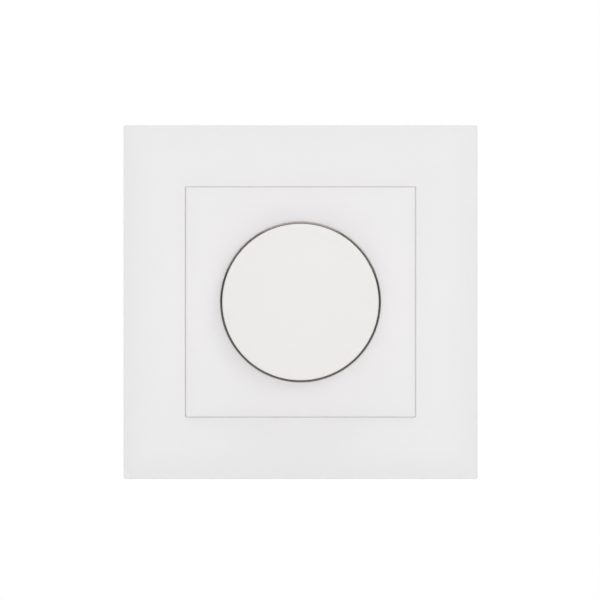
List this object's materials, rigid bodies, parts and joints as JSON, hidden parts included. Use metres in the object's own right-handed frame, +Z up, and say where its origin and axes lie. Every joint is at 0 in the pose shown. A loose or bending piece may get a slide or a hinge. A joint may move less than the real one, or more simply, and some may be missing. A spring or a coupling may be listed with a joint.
{
  "type": "rotary dimmer switch",
  "caption": "Flush rotary light dimmer with a push switch: square cover frame, square centre plate and one round ringed knob before a wall-box insert with claws and terminals.",
  "frame": {"origin": "on the wall plane, at the knob's axis: the centre of the support plate's rear face", "axes": "-Y out of the wall towards the user, +Y into the wall, +Z up, +X to the right as seen from the front"},
  "size_m": [0.084, 0.051, 0.084],
  "materials": {
    "white_plastic": "satin moulded thermoplastic",
    "dark_chrome": "polished dark chrome plate",
    "zinc_steel": "zinc plated steel",
    "spring_steel": "bright spring steel",
    "brass": "turned and stamped brass",
    "housing_grey": "moulded, fine spark texture",
    "black_plastic": "moulded, satin",
    "resin_brown": "pressed phenolic resin",
    "carbon_track": "printed carbon on laminate",
    "board_green": "glass epoxy board with solder mask",
    "ferrite": "sintered ferrite, matt",
    "copper_wire": "enamelled copper wire",
    "capacitor_yellow": "moulded case",
    "capacitor_blue": "shrunk sleeve",
    "tinned_metal": "tinned",
    "fuse_glass": "clear drawn glass"
  },
  "bodies": {
    "insert": {"cover_frame": "white_plastic", "centre_plate": "white_plastic", "plate_nut": "brass", "plate_washer": "zinc_steel", "insulating_cover": "resin_brown", "support_plate": "zinc_steel", "pot_nut": "zinc_steel", "pot_bushing": "brass", "pot_body": "resin_brown", "resistor_track": "carbon_track", "switch_body": "black_plastic", "push_spring": "spring_steel", "circuit_board": "board_green", "choke_core": "ferrite", "choke_winding": "copper_wire", "film_capacitor": "capacitor_yellow", "timing_capacitor": "capacitor_blue", "triac": "black_plastic", "triac_screw": "zinc_steel", "fuse_tube": "fuse_glass", "fuse_cap_top": "tinned_metal", "fuse_cap_bottom": "tinned_metal", "fuse_clip_top": "brass", "fuse_clip_bottom": "brass", "base_housing": "housing_grey", "housing_screw_left": "zinc_steel", "housing_screw_right": "zinc_steel", "terminal_bar_1": "brass", "terminal_bar_2": "brass", "terminal_bar_3": "brass", "claw_pin_left": "spring_steel", "claw_pin_right": "spring_steel"},
    "plunger": {"switch_plunger": "housing_grey"},
    "knob": {"knob_face": "white_plastic", "knob_trim_ring": "dark_chrome", "knob_body": "white_plastic", "shaft_sleeve": "black_plastic", "grip_ring": "spring_steel", "control_shaft": "zinc_steel", "shaft_clip": "spring_steel"},
    "wiper": {"wiper_rotor": "black_plastic", "wiper_spring": "spring_steel"},
    "clamp_screw_1": {"terminal_screw_1": "zinc_steel"},
    "clamp_screw_2": {"terminal_screw_2": "zinc_steel"},
    "clamp_screw_3": {"terminal_screw_3": "zinc_steel"},
    "clamp_cage_1": {"terminal_cage_1": "zinc_steel"},
    "clamp_cage_2": {"terminal_cage_2": "zinc_steel"},
    "clamp_cage_3": {"terminal_cage_3": "zinc_steel"},
    "spread_screw_left": {"claw_screw_left": "zinc_steel"},
    "spread_screw_right": {"claw_screw_right": "zinc_steel"},
    "spread_claw_left": {"claw_left": "zinc_steel"},
    "spread_claw_right": {"claw_right": "zinc_steel"}
  },
  "joints": [
    {"name": "knob_push", "type": "slide", "parent": "insert", "child": "plunger", "axis": [0, 1, 0], "range_m": [0, 0.0018], "stiffness_N_per_m": 2000, "springref_m": -0.0015, "deforming": ["push_spring"]},
    {"name": "knob_turn", "type": "hinge", "parent": "plunger", "child": "knob", "pos_m": [0, 0, 0], "axis": [0, 1, 0], "range_deg": [-145, 145]},
    {"name": "wiper_turn", "type": "hinge", "parent": "insert", "child": "wiper", "pos_m": [0, 0, 0], "axis": [0, 1, 0], "range_deg": [-145, 145]},
    {"name": "terminal_turn_1", "type": "hinge", "parent": "insert", "child": "clamp_screw_1", "pos_m": [-0.0085, 0.027, -0.017], "axis": [0, -1, 0], "range_deg": [0, 1200]},
    {"name": "terminal_lift_1", "type": "slide", "parent": "insert", "child": "clamp_cage_1", "axis": [0, 1, 0], "range_m": [0, 0.002]},
    {"name": "terminal_turn_2", "type": "hinge", "parent": "insert", "child": "clamp_screw_2", "pos_m": [0, 0.027, -0.017], "axis": [0, -1, 0], "range_deg": [0, 1200]},
    {"name": "terminal_lift_2", "type": "slide", "parent": "insert", "child": "clamp_cage_2", "axis": [0, 1, 0], "range_m": [0, 0.002]},
    {"name": "terminal_turn_3", "type": "hinge", "parent": "insert", "child": "clamp_screw_3", "pos_m": [0.0085, 0.027, -0.017], "axis": [0, -1, 0], "range_deg": [0, 1200]},
    {"name": "terminal_lift_3", "type": "slide", "parent": "insert", "child": "clamp_cage_3", "axis": [0, 1, 0], "range_m": [0, 0.002]},
    {"name": "claw_screw_turn_left", "type": "hinge", "parent": "insert", "child": "spread_screw_left", "pos_m": [-0.0264, 0, 0], "axis": [0, 1, 0], "range_deg": [0, 840]},
    {"name": "claw_swing_left", "type": "hinge", "parent": "insert", "child": "spread_claw_left", "pos_m": [-0.0232, 0.0029, 0], "axis": [0, 0, 1], "range_deg": [0, 20]},
    {"name": "claw_screw_turn_right", "type": "hinge", "parent": "insert", "child": "spread_screw_right", "pos_m": [0.0264, 0, 0], "axis": [0, 1, 0], "range_deg": [0, 840]},
    {"name": "claw_swing_right", "type": "hinge", "parent": "insert", "child": "spread_claw_right", "pos_m": [0.0232, 0.0029, 0], "axis": [0, 0, -1], "range_deg": [0, 20]}
  ],
  "couplings": [
    {"joint": "wiper_turn", "follows": "knob_turn", "ratio": 1},
    {"joint": "terminal_turn_1", "follows": "terminal_lift_1", "rad_per_m": 10472},
    {"joint": "terminal_turn_2", "follows": "terminal_lift_2", "rad_per_m": 10472},
    {"joint": "terminal_turn_3", "follows": "terminal_lift_3", "rad_per_m": 10472},
    {"joint": "claw_swing_left", "follows": "claw_screw_turn_left", "ratio": 0.0238},
    {"joint": "claw_swing_right", "follows": "claw_screw_turn_right", "ratio": 0.0238}
  ]
}
